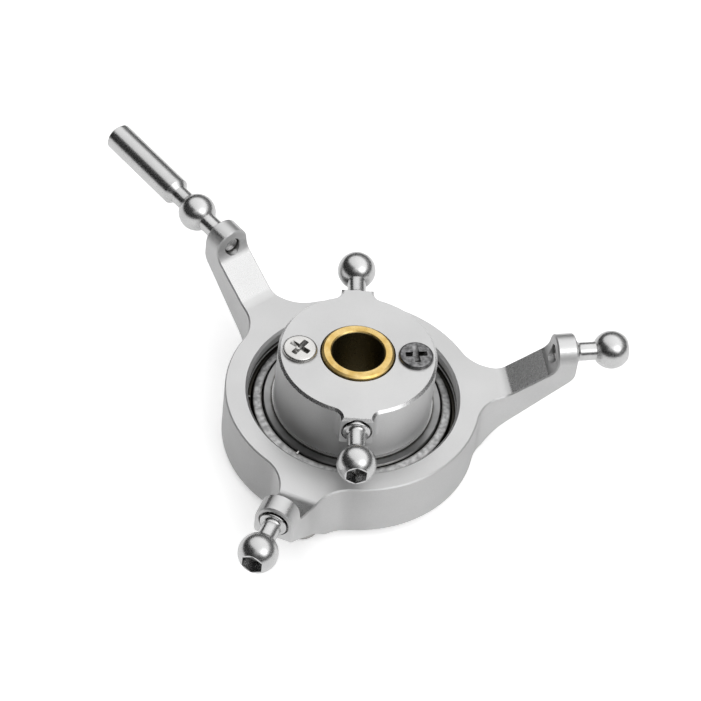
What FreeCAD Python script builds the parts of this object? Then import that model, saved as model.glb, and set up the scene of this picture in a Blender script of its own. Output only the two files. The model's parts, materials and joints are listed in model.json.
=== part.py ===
"""Swashplate of a small model helicopter, with a 4 mm main shaft and 3 mm link balls.

Sizes are in millimetres and angles in degrees. The origin is the centre of the ball joint
on the shaft axis, with +Z up the shaft. The two star screws lie on X and the two star link
balls on Y. The non-rotating ring is turned a little against the star, as photographed.
"""

import FreeCAD, Part
import math
import os

V = FreeCAD.Vector
CENTRE = V(0, 0, 0)
UP = V(0, 0, 1)

# Clearances and edges
SHAFT_CLEARANCE = 0.02      # radial, ball bore on the shaft
SLIDE_CLEARANCE = 0.03      # radial, between the spherical faces of the ball joint
SEAT_CLEARANCE = 0.02       # radial, parts that slide together once and stay
END_GAP = 0.05              # axial, so that the clamped faces meet first
EDGE = 0.12                 # bevel on the turned and milled edges

# Ball joint on the shaft
SHAFT_D = 4.0
SLEEVE_WALL = 0.48
UNIBALL_D = 6.4
UNIBALL_PROUD = 0.25        # brass face above the star cap
SLEEVE_REACH = 8.0          # sleeve end below the ball centre
LINER_WALL = 0.27
LINER_TOP_ANGLE = 8.0       # the liner's edges, as latitudes on the ball
LINER_BOTTOM_ANGLE = 24.0
TILT_ANGLE = 10.0           # each way, about X and about Y
TILT_MARGIN_ANGLE = 1.0     # the sleeve still clears the star by this angle at full tilt

# Rotating star, upper half
CAP_TOP = 1.4               # above the ball centre
CAP_ROOF = 2.4
CAP_WALL = 0.57
CAP_BEVEL = 0.2
LIP_THICK = 0.25            # over the liner
SCREW_WALL = 0.2            # metal between the ball seat and a star screw
SPIGOT_WALL = 0.36          # metal outside a star screw in the lower hub
FOOT_LAP = 0.25             # the cap's foot on the inner race
FOOT_H = 0.2
EAR_W = 2.5
EAR_H = 2.5
EAR_STANDOFF = 0.7          # ear face outside the cap's drum
EAR_FLAT = 0.03             # straight part of an ear's side, between its fillet and its bevelled corner

# Rotating star, lower half
HUB_FLANGE_H = 0.4
HUB_FLANGE_LAP = 0.7        # flange under the inner race

# Bearing, 12 x 18 x 4 with shields
BEARING_BORE = 12.0
BEARING_OD = 18.0
BEARING_W = 4.0
BEARING_BALLS = 13
BALL_SHARE = 0.52933        # ball diameter, as a share of the room between bore and outside
TRACK_SHARE = 0.3073        # depth of the ball track in each race, as a share of the ball's radius
BAND_SHARE = 0.618          # width of the shield's raised band, as a share of the gap between the races
GROOVE_CLEARANCE = 0.035
RACE_EDGE = 0.1
CAGE_CLEARANCE = 0.25       # radial, from the cage to each race
CAGE_OVER = 0.12            # cage rim above and below the balls
SHIELD_T = 0.15
SHIELD_DROP = 0.15          # shield's inner edge below the race face
SHIELD_RIM_DROP = 0.55      # shield's rim below the race face
SHIELD_GAP = 0.1            # running gap to the inner race
GROOVE_DEPTH = 0.25         # shield groove in the outer race
GROOVE_LIP = 0.1            # holds the snap wire down
WIRE_D = 0.24
WIRE_GAP_ANGLE = 54.0       # opening of the C-shaped wire
WIRE_END_ANGLE = 180.0      # azimuth of one bent end

# Non-rotating ring
RING_DROP = 3.0             # ring top below the ball centre
RING_LIP = 0.85
RING_WALL = 0.93            # outside the bearing
RING_LIP_REACH = 0.85       # lip over the bearing
RING_LIP_BEVEL = 0.2

# Arms of the ring
ARM_ANGLE = 9.35            # azimuth of the first arm
ARM_STEP_ANGLE = 120.0
ARM_W = 3.0
ARM_FILLET = 3.2            # in plan, where an arm leaves the ring
ARM_SHELF = 2.05            # level part of the arm, outside the ring
ARM_FOOT = 0.42             # level part of the underside, outside the ring
ARM_UNDER_ANGLE = 42.7      # slope of the underside
ARM_RISE_ANGLE = 34.5       # slope of the top side
ARM_LENGTH = 7.22           # tab face outside the ring
TAB_T = 1.57
VALLEY_R = 1.5
TAB_ROOT_R = 1.4
HEEL_R = 1.2
ARM_EDGE = 0.1              # bevel on the milled edges of arms and ring

# Link balls and their studs
LINK_BALL_D = 3.0
ARM_STUD = 3.0              # ball centre outside the tab face
STAR_STUD = 3.19            # ball centre outside the ear face
NECK_D = 1.45
COLLAR_D = 2.1
COLLAR_H = 0.3
COLLAR_ROUND = 0.1
NECK_FILLET = 0.3           # where the neck leaves the collar
COUNTERBORE_D = 2.36
COUNTERBORE_H = 0.15
STUD_THREAD_D = 1.4
STAR_STUD_THREAD = 2.4      # thread length in an ear
STUD_RECESS = 0.15          # an arm stud ends this far inside the tab
TAB_DRILL = 2.9             # depth of an arm's stud hole, which marks the slope behind the tab
BALL_FLAT = 1.2             # flat end, from the ball centre
HEX_AF = 1.5
HEX_DEPTH = 0.9

# Guide pin that stops the ring from turning
PIN_D = 2.3
PIN_NECK = 2.45             # from the ball centre to the pin's cone
PIN_CONE = 0.4
PIN_LENGTH = 7.85           # from the cone to the end
PIN_NECK_D = 1.55
PIN_BEVEL = 0.15

# Pan-head screws with a cross recess
SCREW_THREAD_D = 1.4
SCREW_HEAD_D = 2.7
STAR_SCREW_LENGTH = 4.5
STAR_HEAD_H = 0.32
STAR_HEAD_ROUND = 0.24
RETAINER_LENGTH = 3.0
RETAINER_HEAD_H = 0.62
RETAINER_HEAD_ROUND = 0.3
RETAINER_OVERLAP = 0.4      # head over the outer race
RETAINER_DRILL = 3.24       # depth of its hole
BOSS_H = 1.5                # round boss on the arm above the head
CROSS_ARM = 0.45            # width of the recess's arms
CROSS_SPAN = 1.7            # at the mouth
CROSS_TIP = 0.5             # span at the floor
CROSS_DEPTH = 0.5
LEFT_CROSS_ANGLE = 54.0
RIGHT_CROSS_ANGLE = 8.0

# Sizes that follow from the ones above
bore_r = SHAFT_D / 2 + SHAFT_CLEARANCE
sleeve_r = bore_r + SLEEVE_WALL
uniball_r = UNIBALL_D / 2
uniball_top = CAP_TOP + UNIBALL_PROUD
liner_in = uniball_r + SLIDE_CLEARANCE
liner_out = liner_in + LINER_WALL
socket_r = liner_out + SLIDE_CLEARANCE
lip_r = uniball_r + SLIDE_CLEARANCE

thread_r = STUD_THREAD_D / 2
screw_r = SCREW_THREAD_D / 2
screw_hole_r = screw_r + SEAT_CLEARANCE
screw_x = socket_r + SCREW_WALL + screw_hole_r
spigot_r = screw_x + screw_hole_r + SPIGOT_WALL
cavity_r = spigot_r + SEAT_CLEARANCE
cap_r = cavity_r + CAP_WALL
cavity_top = CAP_TOP - CAP_ROOF
ear_half = EAR_W / 2
ear_reach = cap_r + EAR_STANDOFF
ear_z = CAP_TOP - EAR_H / 2
# An ear's fillet is the circle that touches the drum and ends on the ear's side here.
fillet_end = ear_reach - CAP_BEVEL - EAR_FLAT
ear_fillet = (fillet_end ** 2 + ear_half ** 2 - cap_r ** 2) / (2 * (cap_r - ear_half))

ring_top = -RING_DROP
bearing_top = ring_top - RING_LIP
bearing_bottom = bearing_top - BEARING_W
bearing_mid = bearing_top - BEARING_W / 2
bearing_bore_r = BEARING_BORE / 2
bearing_r = BEARING_OD / 2
pitch_r = (bearing_bore_r + bearing_r) / 2
bearing_ball_r = BALL_SHARE * (bearing_r - bearing_bore_r) / 2
track_depth = TRACK_SHARE * bearing_ball_r
inner_land = pitch_r - bearing_ball_r + track_depth
outer_land = pitch_r + bearing_ball_r - track_depth
foot_r = bearing_bore_r + FOOT_LAP
barrel_r = bearing_bore_r - SEAT_CLEARANCE
flange_r = bearing_bore_r + HUB_FLANGE_LAP
groove_r = outer_land + GROOVE_DEPTH
shield_in_r = inner_land + SHIELD_GAP
shield_band_r = shield_in_r + BAND_SHARE * (outer_land - inner_land)

ring_r = bearing_r + RING_WALL
ring_open_r = bearing_r - RING_LIP_REACH
ring_bottom = bearing_bottom
retainer_x = bearing_r - RETAINER_OVERLAP + SCREW_HEAD_D / 2
link_r = LINK_BALL_D / 2
arm_half = ARM_W / 2
tab_out = ring_r + ARM_LENGTH
arm_azimuths = [ARM_ANGLE + ARM_STEP_ANGLE * index for index in range(3)]
right_arm, pin_arm, front_arm = arm_azimuths


def unit(vector):
    """The vector's direction, with length one."""
    return vector / vector.Length


BEND_SHARE = 0.48           # the most of a side that a bend may take, where its other end is bent too


def bend_room(corners, index, step):
    """How much of the side towards a neighbouring corner the bend at a corner may take."""
    near = corners[index]
    far = corners[(index + step) % len(corners)]
    share = BEND_SHARE if len(far) > 2 else 2 * BEND_SHARE
    return share * math.hypot(far[0] - near[0], far[1] - near[1])


def outline(*corners):
    """Closed wire in the XZ plane through corners (x, z).

    A corner may go on with "round" and a radius, or with "bevel" and a size.
    """
    points = [V(corner[0], 0, corner[1]) for corner in corners]
    arrivals = []
    departures = []
    bends = []
    for index, corner in enumerate(corners):
        here = points[index]
        back = points[index - 1] - here
        ahead = points[(index + 1) % len(points)] - here
        if len(corner) == 2:
            arrivals.append(here)
            departures.append(here)
            bends.append(None)
            continue
        half = back.getAngle(ahead) / 2
        room = min(bend_room(corners, index, -1), bend_room(corners, index, 1))
        kind, size = corner[2], corner[3]
        run = size / math.tan(half) if kind == "round" else size
        run = min(run, room)
        arrivals.append(here + unit(back) * run)
        departures.append(here + unit(ahead) * run)
        if kind == "bevel":
            bends.append("line")
            continue
        radius = run * math.tan(half)
        middle = unit(unit(back) + unit(ahead))
        bends.append(here + middle * (radius / math.sin(half) - radius))
    edges = []
    for index, bend in enumerate(bends):
        start, end = arrivals[index], departures[index]
        if bend == "line":
            edges.append(Part.makeLine(start, end))
        elif bend is not None:
            edges.append(Part.Arc(start, bend, end).toShape())
        edges.append(Part.makeLine(end, arrivals[(index + 1) % len(arrivals)]))
    return Part.Wire(edges)


def turned(*corners):
    """Solid of revolution about Z, from an outline of (radius, height) corners."""
    return Part.Face(outline(*corners)).revolve(CENTRE, UP, 360)


def tube(outer, inner, low, high):
    """Straight tube about Z."""
    wall = Part.makeCylinder(outer, high - low, V(0, 0, low))
    return wall.cut(Part.makeCylinder(inner, high - low, V(0, 0, low)))


def rod(radius, low, high, x=0.0):
    """Upright cylinder at (x, 0)."""
    return Part.makeCylinder(radius, high - low, V(x, 0, low))


def slab(half_x, half_y, low, high):
    """Box centred on Z between two heights."""
    return Part.makeBox(2 * half_x, 2 * half_y, high - low, V(-half_x, -half_y, low))


def spun(shape, azimuth):
    """Copy turned about Z."""
    copy = shape.copy()
    copy.rotate(CENTRE, UP, azimuth)
    return copy


def laid(shape, azimuth, height, radius=0.0):
    """Copy of a shape built along +Z, laid to point outwards from a radius and height."""
    copy = shape.copy()
    copy.rotate(CENTRE, V(0, 1, 0), 90)
    copy.translate(V(radius, 0, height))
    return spun(copy, azimuth)


def lug_plan(drum_r, half_width, fillet, reach, low, high):
    """Straight lug along +X that leaves a drum through two concave fillets, from z low to z high."""
    lug = Part.makeBox(reach, 2 * half_width, high - low, V(0, -half_width, low))
    middle_y = half_width + fillet
    middle_x = math.sqrt((drum_r + fillet) ** 2 - middle_y ** 2)
    for side in (1, -1):
        corners = [V(0, 0, low), V(middle_x, 0, low), V(middle_x, side * middle_y, low), V(0, 0, low)]
        web = Part.Face(Part.makePolygon(corners)).extrude(V(0, 0, high - low))
        round_cut = Part.makeCylinder(fillet, high - low, V(middle_x, side * middle_y, low))
        lug = lug.fuse(web.cut(round_cut))
    room = Part.makeBox(reach, 4 * drum_r, high - low, V(0, -2 * drum_r, low))
    return lug.common(room)


def middle_of(edge):
    """Point halfway along an edge."""
    return edge.valueAt((edge.FirstParameter + edge.LastParameter) / 2)


def normal_at(face, point):
    """Outward normal of a face at a point on it."""
    u, v = face.Surface.parameter(point)
    return face.normalAt(u, v)


def outer_edges(shape):
    """The sharp edges of a solid that stick out, not the ones in its inner corners."""
    least_angle = math.radians(20)
    probe = 0.02
    picked = []
    for edge in shape.Edges:
        faces = shape.ancestorsOfType(edge, Part.Face)
        if edge.Degenerated or len(faces) != 2:
            continue
        point = middle_of(edge)
        one = normal_at(faces[0], point)
        two = normal_at(faces[1], point)
        if one.getAngle(two) < least_angle:
            continue
        # Just under face one's plane, past the edge: inside the solid at an inner corner only.
        beside = unit(two - one * one.dot(two)) * probe - one * (probe / 5)
        if not shape.isInside(point + beside, probe / 1000, False):
            picked.append(edge)
    return picked


def bevelled(shape, size, chosen):
    """Shape with a bevel along those outer edges that chosen picks by their middle point."""
    return shape.makeChamfer(size, [edge for edge in outer_edges(shape) if chosen(middle_of(edge))])


def hex_key_hole(across_flats, depth, mouth):
    """Hexagonal hole along Z, from the mouth downwards."""
    corner_r = across_flats / math.sqrt(3)
    corners = []
    for step in range(7):
        angle = math.radians(60 * step)
        corners.append(V(corner_r * math.cos(angle), corner_r * math.sin(angle), mouth - depth))
    return Part.Face(Part.makePolygon(corners)).extrude(V(0, 0, depth))


def stud_base(thread, ball_at, neck_d):
    """Thread, collar and neck along +Z, seated at z = 0, up to a ball centred at ball_at."""
    neck_r = neck_d / 2
    return turned(
        (0, -thread),
        (thread_r, -thread, "bevel", EDGE),
        (thread_r, -COUNTERBORE_H),
        (COLLAR_D / 2, -COUNTERBORE_H),
        (COLLAR_D / 2, COLLAR_H / 2, "round", COLLAR_ROUND),
        (neck_r, COLLAR_H, "round", NECK_FILLET),
        (neck_r, ball_at),
        (0, ball_at),
    )


def ball_stud(thread, ball_at):
    """Link ball on its stud, with a flat end and a hexagon socket in it."""
    ball = Part.makeSphere(link_r, V(0, 0, ball_at))
    end = ball_at + BALL_FLAT
    stud = stud_base(thread, ball_at, NECK_D).fuse(ball)
    stud = stud.cut(rod(link_r, end, end + link_r))
    return stud.cut(hex_key_hole(HEX_AF, HEX_DEPTH, end))


def guide_pin(thread, ball_at):
    """Link ball whose stud runs on as the long pin that slides in the guide."""
    ball = Part.makeSphere(link_r, V(0, 0, ball_at))
    neck_r = PIN_NECK_D / 2
    shoulder = ball_at + PIN_NECK
    end = shoulder + PIN_CONE + PIN_LENGTH
    pin = turned(
        (0, ball_at),
        (neck_r, ball_at),
        (neck_r, shoulder),
        (PIN_D / 2, shoulder + PIN_CONE),
        (PIN_D / 2, end, "bevel", PIN_BEVEL),
        (0, end),
    )
    return stud_base(thread, ball_at, PIN_NECK_D).fuse(ball).fuse(pin)


def pan_screw(length, head_h, head_round, cross_angle=0.0):
    """Pan-head screw along Z: seat at z = 0, thread downwards, tapering cross recess in the head."""
    screw = turned(
        (0, -length),
        (screw_r, -length, "bevel", EDGE),
        (screw_r, 0),
        (SCREW_HEAD_D / 2, 0),
        (SCREW_HEAD_D / 2, head_h, "round", head_round),
        (0, head_h),
    )
    floor = head_h - CROSS_DEPTH
    bar = slab(CROSS_SPAN / 2, CROSS_ARM / 2, floor, head_h)
    taper = Part.makeCone(CROSS_TIP / 2, CROSS_SPAN / 2, CROSS_DEPTH, V(0, 0, floor))
    cross = bar.fuse(spun(bar, 90)).common(taper)
    return screw.cut(spun(cross, cross_angle))


def make_uniball():
    """Brass ball with a long sleeve, bored for the shaft."""
    ball = Part.makeSphere(uniball_r).common(slab(uniball_r, uniball_r, -uniball_r, uniball_top))
    face_r = math.sqrt(uniball_r ** 2 - uniball_top ** 2)
    blank = turned(
        (0, uniball_top),
        (face_r, uniball_top, "bevel", EDGE),
        (uniball_r, 0),
        (uniball_r, -uniball_r),
        (0, -uniball_r),
    )
    sleeve = turned(
        (0, 0),
        (sleeve_r, 0),
        (sleeve_r, -SLEEVE_REACH, "bevel", EDGE),
        (0, -SLEEVE_REACH),
    )
    body = ball.common(blank).fuse(sleeve)
    bore = rod(bore_r, -SLEEVE_REACH, uniball_top)
    mouth = Part.makeCone(bore_r, bore_r + EDGE, EDGE, V(0, 0, uniball_top - EDGE))
    tail = Part.makeCone(bore_r + EDGE, bore_r, EDGE, V(0, 0, -SLEEVE_REACH))
    return body.cut(bore).cut(mouth).cut(tail)


def at_latitude(radius, latitude):
    """Point on a sphere about the origin, in the XZ plane."""
    angle = math.radians(latitude)
    return V(radius * math.cos(angle), 0, radius * math.sin(angle))


def liner_arc(radius):
    """The liner's section along a sphere about the origin."""
    middle = (LINER_TOP_ANGLE - LINER_BOTTOM_ANGLE) / 2
    latitudes = (-LINER_BOTTOM_ANGLE, middle, LINER_TOP_ANGLE)
    return Part.Arc(*[at_latitude(radius, latitude) for latitude in latitudes]).toShape()


def make_liner():
    """Thin spherical ring between the brass ball and the star's seat."""
    edges = [liner_arc(liner_in), liner_arc(liner_out)]
    for latitude in (-LINER_BOTTOM_ANGLE, LINER_TOP_ANGLE):
        edges.append(Part.makeLine(at_latitude(liner_in, latitude), at_latitude(liner_out, latitude)))
    section = Part.Wire(Part.__sortEdges__(edges))
    return Part.Face(section).revolve(CENTRE, UP, 360)


def make_star_cap():
    """Upper half of the star: drum, two ears, ball seat, lip and foot."""
    cap = turned(
        (0, CAP_TOP),
        (cap_r, CAP_TOP),
        (cap_r, bearing_top + FOOT_H),
        (foot_r, bearing_top + FOOT_H),
        (foot_r, bearing_top),
        (0, bearing_top),
    )
    ear = lug_plan(cap_r, ear_half, ear_fillet, ear_reach, CAP_TOP - EAR_H, CAP_TOP)
    for azimuth in (90, -90):
        cap = cap.fuse(spun(ear, azimuth))
    cap = cap.removeSplitter()
    cap = bevelled(cap, CAP_BEVEL, lambda point: abs(point.z - CAP_TOP) < SEAT_CLEARANCE)
    cap = cap.cut(rod(cavity_r, bearing_top, cavity_top))
    seat = Part.makeSphere(socket_r).common(slab(socket_r, socket_r, 0, CAP_TOP - LIP_THICK))
    cap = cap.cut(seat.fuse(rod(socket_r, cavity_top, 0)))
    cap = cap.cut(Part.makeSphere(lip_r))
    for side in (1, -1):
        cap = cap.cut(rod(screw_hole_r, cavity_top, CAP_TOP, side * screw_x))
        cap = cap.cut(laid(stud_hole(STAR_STUD_THREAD), side * 90, ear_z, ear_reach))
    return cap


def stud_hole(depth):
    """Threaded hole for a ball stud along Z, with a shallow counterbore at z = 0."""
    hole = rod(thread_r + SEAT_CLEARANCE, -depth, 0)
    return hole.fuse(rod(COUNTERBORE_D / 2, -COUNTERBORE_H, 0))


def make_lower_hub():
    """Lower half of the star: spigot inside the cap, barrel through the bearing, flange below it."""
    shoulder = bearing_top - END_GAP
    hub_top = cavity_top - END_GAP
    flange_bottom = bearing_bottom - HUB_FLANGE_H
    hub = turned(
        (0, hub_top),
        (spigot_r, hub_top, "bevel", EDGE),
        (spigot_r, shoulder),
        (barrel_r, shoulder),
        (barrel_r, bearing_bottom),
        (flange_r, bearing_bottom),
        (flange_r, flange_bottom, "bevel", EDGE),
        (0, flange_bottom),
    )
    # Both tilts at once lean the sleeve further than either alone, so the seat stops above it.
    lean = math.degrees(math.acos(math.cos(math.radians(TILT_ANGLE)) ** 2)) + TILT_MARGIN_ANGLE
    reach = math.degrees(math.asin(sleeve_r / socket_r)) + lean
    lip = at_latitude(socket_r, reach - 90)
    flare = (lip.z - flange_bottom) * math.tan(math.radians(lean))
    hub = hub.cut(Part.makeSphere(socket_r))
    hub = hub.cut(Part.makeCone(lip.x + flare, lip.x, lip.z - flange_bottom, V(0, 0, flange_bottom)))
    hole_bottom = CAP_TOP - STAR_SCREW_LENGTH - END_GAP
    for side in (1, -1):
        hub = hub.cut(rod(screw_hole_r, hole_bottom, hub_top, side * screw_x))
    return hub


def make_inner_race():
    """Inner race with its ball groove."""
    race = turned(
        (bearing_bore_r, bearing_top, "bevel", RACE_EDGE),
        (inner_land, bearing_top, "bevel", RACE_EDGE),
        (inner_land, bearing_bottom, "bevel", RACE_EDGE),
        (bearing_bore_r, bearing_bottom, "bevel", RACE_EDGE),
    )
    return race.cut(ball_track())


def ball_track():
    """Ring-shaped space that the bearing balls run in."""
    return Part.makeTorus(pitch_r, bearing_ball_r + GROOVE_CLEARANCE, V(0, 0, bearing_mid))


def make_outer_race():
    """Outer race with its ball groove and, on each face, the groove for shield and snap wire."""
    rim = SHIELD_RIM_DROP + SHIELD_T
    wire_top = SHIELD_RIM_DROP - WIRE_D
    lip = groove_r - GROOVE_LIP
    race = turned(
        (outer_land, bearing_top - rim),
        (groove_r, bearing_top - rim),
        (groove_r, bearing_top - wire_top),
        (lip, bearing_top - wire_top),
        (lip, bearing_top),
        (bearing_r, bearing_top, "bevel", RACE_EDGE),
        (bearing_r, bearing_bottom, "bevel", RACE_EDGE),
        (lip, bearing_bottom),
        (lip, bearing_bottom + wire_top),
        (groove_r, bearing_bottom + wire_top),
        (groove_r, bearing_bottom + rim),
        (outer_land, bearing_bottom + rim),
    )
    return race.cut(ball_track())


def make_shield():
    """Upper shield: a pressed sheet ring with a raised band beside the inner race."""
    rim_z = bearing_top - SHIELD_RIM_DROP
    band_z = bearing_top - SHIELD_DROP
    return turned(
        (shield_in_r, band_z),
        (shield_band_r, band_z - SHIELD_T, "round", SHIELD_T),
        (shield_band_r + SHIELD_T, rim_z),
        (groove_r - SEAT_CLEARANCE, rim_z),
        (groove_r - SEAT_CLEARANCE, rim_z - SHIELD_T),
        (shield_band_r, rim_z - SHIELD_T),
        (shield_band_r - SHIELD_T, band_z - 2 * SHIELD_T),
        (shield_in_r, band_z - SHIELD_T),
    )


def make_snap_wire():
    """C-shaped wire above the shield's rim, with both ends bent inwards."""
    wire_r = WIRE_D / 2
    path_r = groove_r - SEAT_CLEARANCE - wire_r
    end_r = shield_band_r + SHIELD_T + SEAT_CLEARANCE
    height = bearing_top - SHIELD_RIM_DROP + wire_r
    section = Part.Face(Part.Wire(Part.Circle(V(path_r, 0, height), V(0, 1, 0), wire_r).toShape()))
    run = 360 - WIRE_GAP_ANGLE
    wire = section.revolve(CENTRE, UP, run)
    for azimuth in (0, run):
        end = Part.makeCylinder(wire_r, path_r - end_r, V(end_r, 0, height), V(1, 0, 0))
        knee = Part.makeSphere(wire_r, V(path_r, 0, height))
        wire = wire.fuse(spun(end.fuse(knee), azimuth))
    return spun(wire, WIRE_END_ANGLE + WIRE_GAP_ANGLE)


def below(shape):
    """The same piece on the bearing's lower face."""
    return shape.mirror(V(0, 0, bearing_mid), UP)


def make_cage():
    """Ball cage: a ring with one pocket drilled through it for each ball."""
    rim = bearing_ball_r + CAGE_OVER
    outer = outer_land - CAGE_CLEARANCE
    cage = tube(outer, inner_land + CAGE_CLEARANCE, bearing_mid - rim, bearing_mid + rim)
    pocket_r = bearing_ball_r + GROOVE_CLEARANCE
    pocket = Part.makeCylinder(pocket_r, 2 * outer, V(0, 0, bearing_mid), V(1, 0, 0))
    for index in range(BEARING_BALLS):
        cage = cage.cut(spun(pocket, index * 360 / BEARING_BALLS))
    return cage


def make_bearing_balls():
    """All balls of the bearing, as separate solids."""
    ball = Part.makeSphere(bearing_ball_r, V(pitch_r, 0, bearing_mid))
    return Part.makeCompound([spun(ball, index * 360 / BEARING_BALLS) for index in range(BEARING_BALLS)])


def arm_side():
    """Side view of an arm as a wide prism across it: shelf, rise, tab, heel and sloping underside."""
    tab_in = tab_out - TAB_T
    shelf = ring_r + ARM_SHELF
    sill = ring_top + (tab_in - shelf) * math.tan(math.radians(ARM_RISE_ANGLE))
    foot = ring_r + ARM_FOOT
    heel = ring_bottom + (tab_out - foot) * math.tan(math.radians(ARM_UNDER_ANGLE))
    profile = outline(
        (bearing_r, ring_top),
        (shelf, ring_top, "round", VALLEY_R),
        (tab_in, sill, "round", TAB_ROOT_R),
        (tab_in, arm_half),
        (tab_out, arm_half),
        (tab_out, min(heel, -COUNTERBORE_D / 2), "round", HEEL_R),
        (foot, ring_bottom),
        (bearing_r, ring_bottom),
    )
    wide = 4 * arm_half
    profile.translate(V(0, -wide, 0))
    return Part.Face(profile).extrude(V(0, 2 * wide, 0))


def make_arm():
    """One arm along +X, filleted into the ring, rising to a round-topped tab, with a screw boss below."""
    plan = lug_plan(ring_r, arm_half, ARM_FILLET, tab_out, ring_bottom, arm_half)
    arm = plan.common(arm_side())
    round_top = Part.makeCylinder(arm_half, tab_out, CENTRE, V(1, 0, 0))
    below_axis = slab(2 * tab_out, 2 * tab_out, ring_bottom, 0)
    arm = arm.common(round_top.fuse(below_axis))
    boss = rod(SCREW_HEAD_D / 2, ring_bottom, ring_bottom + BOSS_H, retainer_x)
    return arm.fuse(boss).removeSplitter()


def make_ring():
    """Non-rotating ring with its bearing seat, lip and three arms."""
    ring = turned(
        (ring_open_r, ring_top, "bevel", RING_LIP_BEVEL),
        (ring_r, ring_top),
        (ring_r, ring_bottom),
        (ring_open_r, ring_bottom),
    )
    arm = make_arm()
    for azimuth in arm_azimuths:
        ring = ring.fuse(spun(arm, azimuth))
    ring = ring.removeSplitter()
    ring = bevelled(ring, ARM_EDGE, lambda point: math.hypot(point.x, point.y) > bearing_r)
    ring = ring.cut(rod(bearing_r + SEAT_CLEARANCE, ring_bottom, bearing_top))
    screw_hole = rod(screw_hole_r, ring_bottom, ring_bottom + RETAINER_DRILL, retainer_x)
    for azimuth in arm_azimuths:
        ring = ring.cut(laid(stud_hole(TAB_DRILL), azimuth, 0, tab_out))
        ring = ring.cut(spun(screw_hole, azimuth))
    return ring


arm_thread = TAB_T - STUD_RECESS
arm_stud = ball_stud(arm_thread, ARM_STUD)
star_stud = ball_stud(STAR_STUD_THREAD, STAR_STUD)

retainer = pan_screw(RETAINER_LENGTH, RETAINER_HEAD_H, RETAINER_HEAD_ROUND)
retainer.rotate(CENTRE, V(1, 0, 0), 180)
retainer.translate(V(retainer_x, 0, ring_bottom))


def star_screw(side, cross_angle):
    """Star screw on the cap, at side times its distance from the shaft."""
    screw = pan_screw(STAR_SCREW_LENGTH, STAR_HEAD_H, STAR_HEAD_ROUND, cross_angle)
    screw.translate(V(side * screw_x, 0, CAP_TOP))
    return screw


shield = make_shield()
snap_wire = make_snap_wire()

nodes = {
    "outer_ring": make_ring(),
    "right_ball_stud": laid(arm_stud, right_arm, 0, tab_out),
    "front_ball_stud": laid(arm_stud, front_arm, 0, tab_out),
    "anti_rotation_pin": laid(guide_pin(arm_thread, ARM_STUD), pin_arm, 0, tab_out),
    "bearing_outer_race": make_outer_race(),
    "upper_bearing_shield": shield,
    "lower_bearing_shield": below(shield),
    "upper_snap_wire": snap_wire,
    "lower_snap_wire": below(snap_wire),
    "right_retaining_screw": spun(retainer, right_arm),
    "rear_retaining_screw": spun(retainer, pin_arm),
    "front_retaining_screw": spun(retainer, front_arm),
    "bearing_cage": make_cage(),
    "bearing_balls": make_bearing_balls(),
    "bearing_inner_race": make_inner_race(),
    "star_cap": make_star_cap(),
    "lower_hub": make_lower_hub(),
    "left_star_screw": star_screw(-1, LEFT_CROSS_ANGLE),
    "right_star_screw": star_screw(1, RIGHT_CROSS_ANGLE),
    "front_star_ball_stud": laid(star_stud, -90, ear_z, ear_reach),
    "rear_star_ball_stud": laid(star_stud, 90, ear_z, ear_reach),
    "ball_liner": make_liner(),
    "uniball": make_uniball(),
}

os.makedirs("parts", exist_ok=True)
for name, shape in nodes.items():
    shape.exportStep("parts/" + name + ".step")
    box = shape.BoundBox
    print(name, "solids", len(shape.Solids), "valid", shape.isValid(), "volume", round(shape.Volume, 3),
          "z", round(box.ZMin, 3), round(box.ZMax, 3))
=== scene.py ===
# %% [markdown]
# # Finishing a model helicopter's swashplate
#
# A swashplate carries the pilot's controls up to a spinning rotor head. Its lower half, a ring
# with three arms, stands still. Its upper half, the star, turns in a ball bearing inside the
# ring. The solids already have their true shapes and places, so this lesson is about light,
# metal and one detail that is finer than the solids.

import json
import math

import bmesh
import bpy
from mathutils import Matrix, Vector


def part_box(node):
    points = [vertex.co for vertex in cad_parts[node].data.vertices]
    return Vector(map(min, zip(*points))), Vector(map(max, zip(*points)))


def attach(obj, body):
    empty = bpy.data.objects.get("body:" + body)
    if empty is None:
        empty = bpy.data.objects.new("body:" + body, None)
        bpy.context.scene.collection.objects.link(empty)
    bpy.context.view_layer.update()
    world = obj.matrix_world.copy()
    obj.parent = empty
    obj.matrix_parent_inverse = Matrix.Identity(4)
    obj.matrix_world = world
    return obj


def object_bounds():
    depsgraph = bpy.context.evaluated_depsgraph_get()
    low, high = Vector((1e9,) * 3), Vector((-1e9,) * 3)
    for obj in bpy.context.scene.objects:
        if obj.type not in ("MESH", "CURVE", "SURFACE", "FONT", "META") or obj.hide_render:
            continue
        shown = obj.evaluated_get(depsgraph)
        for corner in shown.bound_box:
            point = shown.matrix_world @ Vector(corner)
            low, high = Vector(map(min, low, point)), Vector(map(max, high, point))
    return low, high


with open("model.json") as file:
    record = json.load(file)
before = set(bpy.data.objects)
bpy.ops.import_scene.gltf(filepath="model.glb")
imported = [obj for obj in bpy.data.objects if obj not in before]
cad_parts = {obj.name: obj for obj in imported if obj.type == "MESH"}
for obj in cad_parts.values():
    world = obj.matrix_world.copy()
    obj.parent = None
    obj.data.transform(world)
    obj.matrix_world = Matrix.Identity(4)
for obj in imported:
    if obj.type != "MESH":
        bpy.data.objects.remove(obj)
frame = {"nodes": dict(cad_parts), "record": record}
solid_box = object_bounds()
nodes = frame["nodes"]
MM = 0.001

# %% [markdown]
# ## The camera
#
# A product photograph of a small thing is taken from some way off with a long lens, which keeps
# the balls round and the ring's near and far sides almost the same size. The camera is placed
# like a real one on a stand: where it looks, from which side, how high, how far, and how much it
# leans. Working out its axes from those five numbers is easier to change than a matrix.

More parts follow.
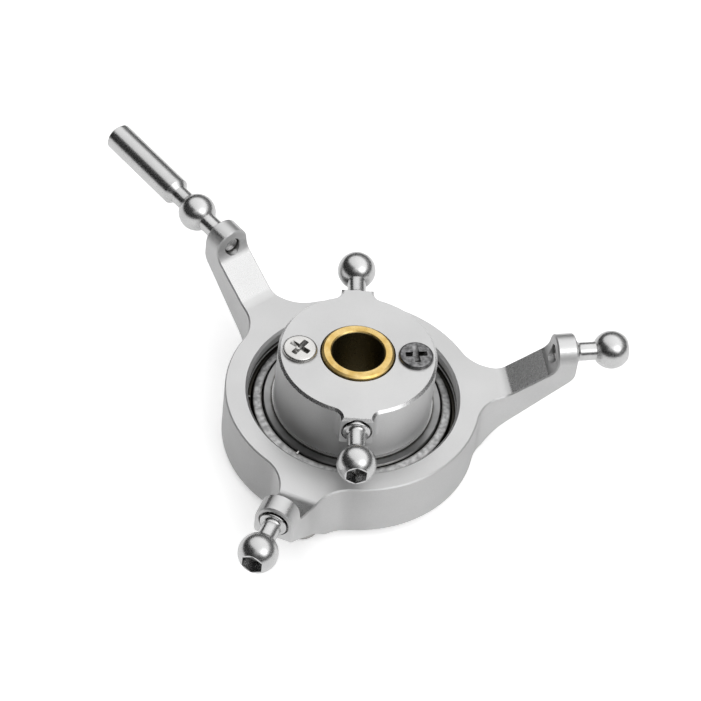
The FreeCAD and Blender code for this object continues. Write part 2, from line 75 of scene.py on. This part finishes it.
# %% Place the camera
AIM = Vector((-0.46, 1.54, 0)) * MM
CAMERA_SIDE = math.radians(-5.17)
CAMERA_HEIGHT = math.radians(47.06)
CAMERA_LEAN = math.radians(7.21)
CAMERA_DISTANCE = 227.5 * MM
LENS = 151.86
SENSOR_WIDTH = 36
NEAREST_SEEN = 10 * MM

from_aim = Vector((
    math.sin(CAMERA_SIDE) * math.cos(CAMERA_HEIGHT),
    -math.cos(CAMERA_SIDE) * math.cos(CAMERA_HEIGHT),
    math.sin(CAMERA_HEIGHT),
))
level = Vector((0, 0, 1)).cross(from_aim).normalized()
right = level * math.cos(CAMERA_LEAN) + from_aim.cross(level) * math.sin(CAMERA_LEAN)
turn = Matrix((right, from_aim.cross(right), from_aim)).transposed().to_4x4()

lens = bpy.data.cameras.new("long_lens")
lens.sensor_width = SENSOR_WIDTH
lens.lens = LENS
lens.clip_start = NEAREST_SEEN
camera = bpy.data.objects.new("camera", lens)
camera.matrix_world = Matrix.Translation(AIM + from_aim * CAMERA_DISTANCE) @ turn
bpy.context.scene.collection.objects.link(camera)
bpy.context.scene.camera = camera
bpy.context.scene.view_settings.view_transform = "Standard"
print("camera at", [round(value / MM, 1) for value in camera.matrix_world.translation], "mm")

# %% [markdown]
# ## Small helpers
#
# Colours are easiest to read as the hex values that paint and screen software shows, but the
# renderer works in linear light, so one function converts them. Materials are node graphs, and
# writing them by hand repeats the same three steps: add a node, set its values, link its inputs.
# One function does all three. A last one makes an object of a finished bmesh.

# %% Colour, node and object helpers
def linear(hex_colour):
    """Linear colour from an sRGB hex value."""
    channels = []
    for start in (1, 3, 5):
        value = int(hex_colour[start:start + 2], 16) / 255
        channels.append(value / 12.92 if value <= 0.04045 else ((value + 0.055) / 1.055) ** 2.4)
    return (*channels, 1.0)


def add(tree, kind, settings=None, inputs=None):
    """Add a node, set its properties, then give each input named a value or a link."""
    node = tree.nodes.new(kind)
    for name, value in (settings or {}).items():
        setattr(node, name, value)
    for name, value in (inputs or {}).items():
        socket = node.inputs[name]
        if isinstance(value, bpy.types.NodeSocket):
            tree.links.new(value, socket)
        else:
            socket.default_value = value
    return node


def new_material(name):
    """Empty material and its node tree."""
    material = bpy.data.materials.new(name)
    material.use_nodes = True
    material.node_tree.nodes.clear()
    return material, material.node_tree


def object_from(name, shape):
    """Object at the origin, with the shape in its mesh."""
    mesh = bpy.data.meshes.new(name)
    shape.to_mesh(mesh)
    shape.free()
    piece = bpy.data.objects.new(name, mesh)
    bpy.context.scene.collection.objects.link(piece)
    return piece


print("white is", linear("#ffffff"))

# %% [markdown]
# ## Floor
#
# The photograph was taken on white, so the floor is white too, and it catches a soft shadow that
# tells the eye where the part stands. One large square does for it, at the height of the part's
# lowest point.

# %% Make the floor
FLOOR_SIZE = 3.0
floor_height = solid_box[0][2]

sheet_bmesh = bmesh.new()
bmesh.ops.create_grid(sheet_bmesh, x_segments=1, y_segments=1, size=FLOOR_SIZE / 2)
bmesh.ops.translate(sheet_bmesh, verts=sheet_bmesh.verts, vec=(0, 0, floor_height))
floor = object_from("white_floor", sheet_bmesh)
print("floor at", round(floor_height / MM, 2), "mm")

# %% [markdown]
# ## White paper
#
# The sheet glows a little for the camera and for reflections, the way a lit white sheet does.
# Polished metal then shows white below its horizon.

# %% White paper
FLOOR_GLOW = 0.5
FLOOR_REFLECTED = 0.25

paper, tree = new_material("white_paper")
path = add(tree, "ShaderNodeLightPath")
glow = add(
    tree, "ShaderNodeMath", {"operation": "MULTIPLY"},
    {0: path.outputs["Is Camera Ray"], 1: FLOOR_GLOW},
)
shine = add(
    tree, "ShaderNodeMath", {"operation": "MULTIPLY_ADD"},
    {0: path.outputs["Is Glossy Ray"], 1: FLOOR_REFLECTED, 2: glow.outputs[0]},
)
sheet = add(
    tree, "ShaderNodeBsdfPrincipled", {},
    {
        "Base Color": linear("#f2f2f2"),
        "Roughness": 0.9,
        "Emission Color": linear("#ffffff"),
        "Emission Strength": shine.outputs[0],
    },
)
add(tree, "ShaderNodeOutputMaterial", {}, {"Surface": sheet.outputs[0]})
floor.data.materials.append(paper)
print("floor is", paper.name)

# %% [markdown]
# ## The room
#
# Metal has almost no colour of its own: what the eye sees on it is the room. The round link
# balls in the photograph are small mirrors, and they show that room: one large oval diffuser
# overhead that leans to the right and back, a white table below, and a dark belt between the two
# all round the horizon. The belt is what draws a dark line along each rounded edge.
#
# The world shader is the dim part of it, a gradient by direction. The room is lighter on the
# right, and the belt takes most of the light away near the horizon. The camera itself sees plain
# white.

# %% Walls of the room
ROOM_DARK = "#363636"
ROOM_LIGHT = "#a8a8a8"
LIGHT_SIDE = (0.76, 0.28, 0.4)
SIDE_FADE = (-0.3, 0.9)
BELT_STRENGTH = 0.3
BELT_FADE = (0.2, 0.55)

world = bpy.data.worlds.new("studio")
bpy.context.scene.world = world
world.use_nodes = True
tree = world.node_tree
tree.nodes.clear()
direction = add(tree, "ShaderNodeTexCoord").outputs["Generated"]
towards = add(
    tree, "ShaderNodeVectorMath", {"operation": "DOT_PRODUCT"}, {0: direction, 1: LIGHT_SIDE},
)
side = add(
    tree, "ShaderNodeMapRange", {"interpolation_type": "SMOOTHSTEP"},
    {"Value": towards.outputs["Value"], "From Min": SIDE_FADE[0], "From Max": SIDE_FADE[1]},
)
room = add(tree, "ShaderNodeValToRGB", {}, {0: side.outputs[0]})
for element, colour in zip(room.color_ramp.elements, (ROOM_DARK, ROOM_LIGHT)):
    element.color = linear(colour)
height = add(tree, "ShaderNodeSeparateXYZ", {}, {0: direction})
above_belt = add(
    tree, "ShaderNodeMapRange", {"interpolation_type": "SMOOTHSTEP"},
    {
        "Value": height.outputs["Z"],
        "From Min": BELT_FADE[0], "From Max": BELT_FADE[1], "To Min": BELT_STRENGTH, "To Max": 1.0,
    },
)
around = add(
    tree, "ShaderNodeBackground", {},
    {"Color": room.outputs["Color"], "Strength": above_belt.outputs[0]},
)
behind = add(tree, "ShaderNodeBackground", {}, {"Color": linear("#ffffff"), "Strength": 1.0})
path = add(tree, "ShaderNodeLightPath")
seen = add(
    tree, "ShaderNodeMixShader", {},
    {0: path.outputs["Is Camera Ray"], 1: around.outputs[0], 2: behind.outputs[0]},
)
add(tree, "ShaderNodeOutputWorld", {}, {"Surface": seen.outputs[0]})
print("world nodes:", len(tree.nodes))

# %% [markdown]
# ## Lamps
#
# The diffuser is an oval area lamp. A smaller one hangs at the right, where the photograph's
# balls are brightest, and a weak one over the camera fills the middle of each ball. A lamp's
# energy grows with its area, so each is given the brightness that a mirror would show instead,
# and its energy is worked out from that.

# %% Hang the diffusers
def towards_sky(azimuth, elevation):
    """Direction from the part, in degrees from +X and above the floor."""
    azimuth, elevation = math.radians(azimuth), math.radians(elevation)
    flat = math.cos(elevation)
    return Vector((math.cos(azimuth) * flat, math.sin(azimuth) * flat, math.sin(elevation)))


def soft_oval(name, place, distance, length, width, long_azimuth, brightness):
    """Oval lamp that faces the part. Brightness is what a mirror would show, with white at 1."""
    lamp = bpy.data.lights.new(name, "AREA")
    lamp.shape = "ELLIPSE"
    lamp.size = length
    lamp.size_y = width
    lamp.energy = brightness * math.pi * (math.pi * length * width / 4)
    away = towards_sky(*place)
    across = away.cross(towards_sky(long_azimuth, 0)).normalized()
    axes = Matrix((across.cross(away), across, away)).transposed().to_4x4()
    box = bpy.data.objects.new(name, lamp)
    box.matrix_world = Matrix.Translation(away * distance) @ axes
    bpy.context.scene.collection.objects.link(box)
    print(name, "hangs", round(distance, 2), "m away")


soft_oval(
    "overhead_diffuser", place=(40, 79), distance=0.27,
    length=0.98, width=0.48, long_azimuth=135, brightness=0.99,
)
soft_oval(
    "right_diffuser", place=(-45, 43), distance=0.45,
    length=0.32, width=0.32, long_azimuth=45, brightness=1.1,
)
soft_oval(
    "front_diffuser", place=(-92, 50), distance=0.45,
    length=0.40, width=0.20, long_azimuth=-2, brightness=0.45,
)

# %% [markdown]
# ## Painted shade in the corners
#
# Each metal finds its inner corners by ambient occlusion within 0.6 mm and is painted dark there,
# as painted shade. How open a place has to be to stay unshaded differs: a screw's recess gets more
# painted shade than an arm's root.

# %% Painted shade in the corners
PAINTED_SHADE = "#3a3833"
SHADE_REACH = 0.6 * MM
FULL_SHADE_AT = 0.15


def over_painted_shade(tree, colour, unshaded_from):
    """The given colour in the open, and painted shade where the surface is shut in."""
    shut_in = add(tree, "ShaderNodeAmbientOcclusion", {"samples": 4}, {"Distance": SHADE_REACH})
    unshaded = add(
        tree, "ShaderNodeMapRange", {},
        {"Value": shut_in.outputs["AO"], "From Min": FULL_SHADE_AT, "From Max": unshaded_from},
    )
    mixed = add(
        tree, "ShaderNodeMix", {"data_type": "RGBA"},
        {"Factor": unshaded.outputs[0], "A": linear(PAINTED_SHADE), "B": colour},
    )
    return mixed.outputs["Result"]


# Reach of the painted shade in the corners.
print("oil within", round(SHADE_REACH / MM, 1), "mm of a corner")

# %% [markdown]
# ## What the metals share
#
# Every metal here drifts slowly between two close tones. Its gloss and a fine bump follow a much
# finer noise, so that a rougher spot is also a higher one. One function makes them all, and each
# metal gives its own tones, gloss and grain.

# %% A metal
NOISE_RANGE = (0.3, 0.7)
MOTTLE_RANGE = (0.35, 0.65)


def metal(name, tones, roughness, grain, bump, mottle, unshaded_from):
    """Metal between two tones. Grain, bump and mottle are sizes in metres."""
    material, tree = new_material(name)
    place = add(tree, "ShaderNodeTexCoord").outputs["Object"]
    fine, slow = (
        add(tree, "ShaderNodeTexNoise", {}, {"Vector": place, "Scale": 1 / size}).outputs["Fac"]
        for size in (grain, mottle)
    )
    tone = add(tree, "ShaderNodeValToRGB", {}, {0: slow})
    for element, position, colour in zip(tone.color_ramp.elements, MOTTLE_RANGE, tones):
        element.position = position
        element.color = linear(colour)
    gloss = add(
        tree, "ShaderNodeMapRange", {},
        {
            "Value": fine, "From Min": NOISE_RANGE[0], "From Max": NOISE_RANGE[1],
            "To Min": roughness[0], "To Max": roughness[1],
        },
    )
    relief = add(
        tree, "ShaderNodeBump", {}, {"Height": fine, "Strength": 1.0, "Distance": bump},
    )
    surface = add(
        tree, "ShaderNodeBsdfPrincipled", {},
        {
            # Painted shade darkens the base colour in corners and recesses.
            "Base Color": over_painted_shade(tree, tone.outputs["Color"], unshaded_from),
            "Metallic": 1.0,
            "Roughness": gloss.outputs[0],
            "Normal": relief.outputs[0],
        },
    )
    add(tree, "ShaderNodeOutputMaterial", {}, {"Surface": surface.outputs[0]})
    print(name, "grain", round(grain / MM, 2), "mm")
    return material


# %% [markdown]
# ## Bead-blasted, anodised aluminium
#
# The ring and the star are turned and milled from aluminium bar, blasted with fine glass beads
# and clear anodised. Blasting leaves a frosty grain that spreads every highlight, and the anodic
# film takes the metal's brightness down a little. The grain is about 0.05 mm, finer than one
# pixel here, so it is drawn at 0.13 mm to show at all.

# %% Aluminium
BLAST_GRAIN = 0.13 * MM
aluminium = metal(
    "anodised_aluminium_bead_blasted", tones=("#cdcdcd", "#d4d4d4"), roughness=(0.37, 0.45),
    grain=BLAST_GRAIN, bump=0.0025 * MM, mottle=6 * MM, unshaded_from=0.6,
)

# %% [markdown]
# ## Distance and slope
#
# Turned pieces are round about the shaft, so the marks of the lathe, the oil and the grease on
# them depend on how far from it the surface lies, and on how upright it stands. Both are the
# length of a level part: of the place for the one, and of the surface's normal for the other.

# %% Distance from the shaft, and slope
LEVEL_PART = (1, 1, 0)


def level_length(tree, vector):
    """Length of a vector's level part."""
    flat = add(tree, "ShaderNodeVectorMath", {"operation": "MULTIPLY"}, {0: vector, 1: LEVEL_PART})
    length = add(tree, "ShaderNodeVectorMath", {"operation": "LENGTH"}, {0: flat.outputs[0]})
    return length.outputs["Value"]


def radius_about_shaft(tree):
    """Distance of the surface from the shaft's axis, in metres."""
    return level_length(tree, add(tree, "ShaderNodeTexCoord").outputs["Object"])


def uprightness(tree):
    """How upright the surface stands: 0 on a top face, 1 on a wall."""
    return level_length(tree, add(tree, "ShaderNodeTexCoord").outputs["Normal"])


print("level part:", LEVEL_PART)

# %% [markdown]
# ## Marks of the lathe
#
# The top faces lie square to the blast and are frosted evenly. The walls keep the cutter's marks
# under the frost, and such marks spread the light across themselves. They run round the shaft, so
# the walls catch the diffuser from above. An anisotropic shader does this, with a tangent that
# runs round Z, wherever the surface stands upright and lies inside the roots of the arms.

# %% Turned walls
QUARTER_TURN = 0.25
TURNED_LAY = 0.85
TURNED_TO = 10.1 * MM
MILLED_FROM = 10.5 * MM


def marks_round_shaft(material):
    """Make a metal's marks run round the shaft, and return its node tree and shader."""
    tree = material.node_tree
    surface = tree.nodes["Principled BSDF"]
    round_shaft = add(tree, "ShaderNodeTangent", {"direction_type": "RADIAL", "axis": "Z"})
    tree.links.new(round_shaft.outputs[0], surface.inputs["Tangent"])
    surface.inputs["Anisotropic Rotation"].default_value = QUARTER_TURN
    return tree, surface


tree, surface = marks_round_shaft(aluminium)
near_shaft = add(
    tree, "ShaderNodeMapRange", {},
    {
        "Value": radius_about_shaft(tree), "From Min": TURNED_TO, "From Max": MILLED_FROM,
        "To Min": TURNED_LAY, "To Max": 0.0,
    },
)
upright = uprightness(tree)
lay = add(
    tree, "ShaderNodeMath", {"operation": "MULTIPLY"}, {0: near_shaft.outputs[0], 1: upright},
)
tree.links.new(lay.outputs[0], surface.inputs["Anisotropic"])
print("turned to", round(TURNED_TO / MM, 1), "mm, milled from", round(MILLED_FROM / MM, 1), "mm")

# %% [markdown]
# ## Smooth slopes and a smooth bevel
#
# The arms' slopes and the drum's bevel are smoother than the rest, so they pick out light and
# dark most clearly, and the turned walls are rougher. The share of roughness is a ramp over how
# upright the surface stands. An arm's slope stands at 0.57 on its top side and a bevel at 0.71,
# so on the drum the value is taken down to 0.8 of itself, which brings the drum's bevel to the
# same step and leaves the ring's bevels frosted. A ramp ends at 1, so it holds half of each share
# and the result is doubled.

# %% Roughness by slope
DRUM_TO = 6.6 * MM
RING_FROM = 7.1 * MM
DRUM_SHARE = 0.8
SLOPE_ROUGHNESS = 0.68
WALL_ROUGHNESS = 1.35
ROUGHNESS_STEPS = (
    (0.40, 1.0), (0.50, SLOPE_ROUGHNESS), (0.62, SLOPE_ROUGHNESS), (0.67, 1.0),
    (0.78, WALL_ROUGHNESS),
)

on_ring = add(
    tree, "ShaderNodeMapRange", {},
    {
        "Value": radius_about_shaft(tree), "From Min": DRUM_TO, "From Max": RING_FROM,
        "To Min": DRUM_SHARE, "To Max": 1.0,
    },
)
slant = add(
    tree, "ShaderNodeMath", {"operation": "MULTIPLY"}, {0: upright, 1: on_ring.outputs[0]},
)
half_share = add(tree, "ShaderNodeValToRGB", {}, {0: slant.outputs[0]})
ramp = half_share.color_ramp.elements
ramp[0].position = ROUGHNESS_STEPS[0][0]
ramp[1].position = ROUGHNESS_STEPS[-1][0]
for position, _ in ROUGHNESS_STEPS[1:-1]:
    ramp.new(position)
for element, (_, share) in zip(ramp, ROUGHNESS_STEPS):
    element.color = (share / 2, share / 2, share / 2, 1)
frost = surface.inputs["Roughness"].links[0].from_socket
half = add(
    tree, "ShaderNodeMath", {"operation": "MULTIPLY"}, {0: frost, 1: half_share.outputs["Color"]},
)
by_slope = add(tree, "ShaderNodeMath", {"operation": "MULTIPLY"}, {0: half.outputs[0], 1: 2.0})
tree.links.new(by_slope.outputs[0], surface.inputs["Roughness"])
print("steps of roughness:", len(ramp))

# %% [markdown]
# ## The steels
#
# Six finishes of steel sit side by side here, and telling them apart is half of the realism. The
# link balls and the guide pin are polished and run against plastic. The screws are nickel plated,
# all but the star's right one, which is given darker grey tones. The races are ground, the shields
# are pressed from thin sheet, and the snap wire is drawn spring wire. Their grains are finer than
# a pixel, so they too are drawn at about 0.1 mm.

# %% Steels
polished_steel = metal(
    "polished_stainless_steel", tones=("#c6c6c6", "#cecece"), roughness=(0.25, 0.28),
    grain=0.15 * MM, bump=0.00015 * MM, mottle=2 * MM, unshaded_from=0.85,
)
nickel = metal(
    "nickel_plated_steel", tones=("#c8c7c5", "#d6d5d3"), roughness=(0.22, 0.32),
    grain=0.12 * MM, bump=0.0006 * MM, mottle=1.5 * MM, unshaded_from=0.98,
)
# Darker grey tones for the star's right screw, whose head is darker than the other's.
darker_screw_steel = metal(
    "dark_grey_worn_screw_steel", tones=("#5a5a5b", "#8c8c8d"), roughness=(0.26, 0.38),
    grain=0.12 * MM, bump=0.0015 * MM, mottle=0.35 * MM, unshaded_from=0.8,
)
ground_steel = metal(
    "ground_bearing_steel", tones=("#868686", "#9a9a9a"), roughness=(0.28, 0.38),
    grain=0.1 * MM, bump=0.001 * MM, mottle=2 * MM, unshaded_from=0.8,
)
sheet_steel = metal(
    "pressed_steel_sheet", tones=("#8a8a8a", "#bababa"), roughness=(0.3, 0.42),
    grain=0.12 * MM, bump=0.003 * MM, mottle=0.4 * MM, unshaded_from=0.8,
)
spring_steel = metal(
    "drawn_spring_wire", tones=("#7c7c7c", "#8f8f8f"), roughness=(0.25, 0.35),
    grain=0.08 * MM, bump=0.002 * MM, mottle=1 * MM, unshaded_from=0.8,
)

# %% [markdown]
# ## Painted shade in the bearing
#
# Dark lines of painted shade are drawn where shade falls between the bearing's parts: at the foot
# of the drum, in the gap between the race and the shield, and in the groove under the lip where
# the snap wire sits. Each line is a circle round the shaft with a reach to either side, and it
# stays low, so that the drum's wall is not darkened. The lines wander by a tenth of a millimetre.

# %% Painted shade lines
SHADE_LINES_BELOW = -3.75 * MM
SHADE_LINE_EDGE = 0.08 * MM
SHADE_LINE_WANDER = 0.12 * MM
WANDER_LENGTH = 0.5 * MM


def painted_shade_line(tree, colour, radius, reach):
    """The given colour, darkened by painted shade within reach of a circle round the shaft."""
    place = add(tree, "ShaderNodeTexCoord").outputs["Object"]
    noise = add(tree, "ShaderNodeTexNoise", {}, {"Vector": place, "Scale": 1 / WANDER_LENGTH})
    wander = add(
        tree, "ShaderNodeMath", {"operation": "MULTIPLY_ADD"},
        {0: noise.outputs["Fac"], 1: SHADE_LINE_WANDER, 2: -SHADE_LINE_WANDER / 2 - radius},
    )
    from_circle = add(
        tree, "ShaderNodeMath", {"operation": "ADD"},
        {0: radius_about_shaft(tree), 1: wander.outputs[0]},
    )
    distance = add(tree, "ShaderNodeMath", {"operation": "ABSOLUTE"}, {0: from_circle.outputs[0]})
    beside = add(
        tree, "ShaderNodeMapRange", {},
        {
            "Value": distance.outputs[0],
            "From Min": reach - SHADE_LINE_EDGE, "From Max": reach + SHADE_LINE_EDGE,
        },
    )
    height = add(tree, "ShaderNodeSeparateXYZ", {}, {0: place})
    above = add(
        tree, "ShaderNodeMath", {"operation": "GREATER_THAN"},
        {0: height.outputs["Z"], 1: SHADE_LINES_BELOW},
    )
    unshaded = add(
        tree, "ShaderNodeMath", {"operation": "MAXIMUM"},
        {0: beside.outputs[0], 1: above.outputs[0]},
    )
    # Painted shade colour inside the line, the base colour outside it.
    mixed = add(
        tree, "ShaderNodeMix", {"data_type": "RGBA"},
        {"Factor": unshaded.outputs[0], "A": linear(PAINTED_SHADE), "B": colour},
    )
    return mixed.outputs["Result"]


# Painted shade lines on the drum's foot, the races and the shield.
for material, lines in (
    (aluminium, ((6.24 * MM, 0.05 * MM),)),
    (ground_steel, ((6.30 * MM, 0.06 * MM), (6.94 * MM, 0.03 * MM))),
    (sheet_steel, ((7.07 * MM, 0.04 * MM), (8.05 * MM, 0.41 * MM))),
):
    tree = material.node_tree
    base = tree.nodes["Principled BSDF"].inputs["Base Color"]
    for radius, reach in lines:
        tree.links.new(painted_shade_line(tree, base.links[0].from_socket, radius, reach), base)
    print(material.name, "grease lines:", len(lines))

# %% [markdown]
# ## Brass
#
# The ball at the centre is turned from brass bar, so its marks run round the shaft as the
# aluminium's do. Inside the bore the brass is painted a dull dark brown as painted shade, which
# makes the bore look almost black from outside. This painted shade is a second colour wherever the
# metal lies within the bore's radius.

# %% Brass
BRASS_LAY = 0.6
BORE_SHADE_TO = 2.04 * MM
BORE_SHADE_ENDS = 2.07 * MM
BORE_SHADE_BRASS = "#7d7355"

brass = metal(
    "turned_brass", tones=("#d2b068", "#e8cc8c"), roughness=(0.26, 0.36),
    grain=0.1 * MM, bump=0.0005 * MM, mottle=0.8 * MM, unshaded_from=0.4,
)
tree, surface = marks_round_shaft(brass)
surface.inputs["Anisotropic"].default_value = BRASS_LAY
base = surface.inputs["Base Color"]
# Painted shade inside the bore: a darker colour within the bore's radius.
outside_bore = add(
    tree, "ShaderNodeMapRange", {},
    {"Value": radius_about_shaft(tree), "From Min": BORE_SHADE_TO, "From Max": BORE_SHADE_ENDS},
)
bore_shaded = add(
    tree, "ShaderNodeMix", {"data_type": "RGBA"},
    {"Factor": outside_bore.outputs[0], "A": linear(BORE_SHADE_BRASS), "B": base.links[0].from_socket},
)
tree.links.new(bore_shaded.outputs["Result"], base)

# %% [markdown]
# ## Acetal
#
# The thin liner round the brass ball is machined from black acetal, a slippery plastic with a
# waxy, slightly uneven gloss.

# %% Acetal
WAXY_GRAIN = 0.2 * MM
ACETAL_IOR = 1.48

acetal, tree = new_material("machined_black_acetal")
place = add(tree, "ShaderNodeTexCoord").outputs["Object"]
waxy = add(tree, "ShaderNodeTexNoise", {}, {"Vector": place, "Scale": 1 / WAXY_GRAIN})
gloss = add(
    tree, "ShaderNodeMapRange", {},
    {
        "Value": waxy.outputs["Fac"], "From Min": NOISE_RANGE[0], "From Max": NOISE_RANGE[1],
        "To Min": 0.35, "To Max": 0.5,
    },
)
plastic = add(
    tree, "ShaderNodeBsdfPrincipled", {},
    {"Base Color": linear("#171718"), "Roughness": gloss.outputs[0], "IOR": ACETAL_IOR},
)
add(tree, "ShaderNodeOutputMaterial", {}, {"Surface": plastic.outputs[0]})
print(acetal.name, "IOR", ACETAL_IOR)

# %% [markdown]
# ## Finishes on the solids
#
# Each solid names a slot in the part's record, and the slot says which finish it has. The star's
# right screw alone differs from its slot.

# %% Give every solid its finish
finishes = {
    "satin_aluminium": aluminium,
    "polished_steel": polished_steel,
    "screw_steel": nickel,
    "bearing_steel": ground_steel,
    "shield_steel": sheet_steel,
    "spring_wire": spring_steel,
    "acetal": acetal,
    "brass": brass,
}
for subpart in frame["record"]["subparts"]:
    materials = nodes[subpart["node"]].data.materials
    materials.clear()
    materials.append(finishes[subpart["material_slot"]])
nodes["right_star_screw"].data.materials[0] = darker_screw_steel

# %% [markdown]
# ## Burr on the bearing's shield
#
# The shield was punched from sheet, and the photograph shows one bright curl of metal on its
# inner edge, at the front left, that crosses the dark gap towards the race. It is a bar, bent up
# and narrowed at its free end by moving that end's corners, then rounded with a bevel. It rides
# with the shield and stays just clear of the race, which turns below it.

# %% Make the burr
BURR_AZIMUTH = math.radians(234)
BURR_LENGTH = 0.58 * MM
BURR_WIDTH = 0.17 * MM
BURR_THICKNESS = 0.08 * MM
BURR_CURL = 0.08 * MM
BURR_OVERLAP = 0.14 * MM
FREE_END_WIDTH = 0.6
EDGE_ROUNDING = 0.3 * BURR_THICKNESS
BURR_LIFT = 0.35 * BURR_THICKNESS
SHIELD_INNER_RADIUS = 7.05 * MM

shield_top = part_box("upper_bearing_shield")[1][2]
race_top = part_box("bearing_inner_race")[1][2]
curl = bmesh.new()
bmesh.ops.create_cube(curl, size=1.0)
bmesh.ops.scale(curl, verts=curl.verts, vec=(BURR_LENGTH, BURR_WIDTH, BURR_THICKNESS))
free_end = [vert for vert in curl.verts if vert.co.x < 0]
bmesh.ops.translate(curl, verts=free_end, vec=(0, 0, BURR_CURL))
bmesh.ops.scale(curl, verts=free_end, vec=(1, FREE_END_WIDTH, 1))
bmesh.ops.bevel(
    curl, geom=curl.edges[:], offset=EDGE_ROUNDING, segments=3, affect="EDGES",
    profile=0.5, material=-1,
)
middle_radius = SHIELD_INNER_RADIUS + BURR_OVERLAP - BURR_LENGTH / 2
bmesh.ops.translate(curl, verts=curl.verts, vec=(middle_radius, 0, shield_top + BURR_LIFT))
bmesh.ops.rotate(
    curl, verts=curl.verts, cent=(0, 0, 0), matrix=Matrix.Rotation(BURR_AZIMUTH, 3, "Z"),
)
burr = object_from("shield_burr", curl)
for face in burr.data.polygons:
    face.use_smooth = True
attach(burr, "non_rotating")
print("shield top", round(shield_top / MM, 3), "race top", round(race_top / MM, 3), "mm")

# %% [markdown]
# ## Torn sheet
#
# Where sheet tears, the steel is fresh, so the burr is brighter than the shield it is part of.

# %% Finish the burr
torn_sheet = metal(
    "torn_steel_sheet", tones=("#c8c7c5", "#d6d5d3"), roughness=(0.22, 0.32),
    grain=0.12 * MM, bump=0.0006 * MM, mottle=1.5 * MM, unshaded_from=0.5,
)
burr.data.materials.append(torn_sheet)
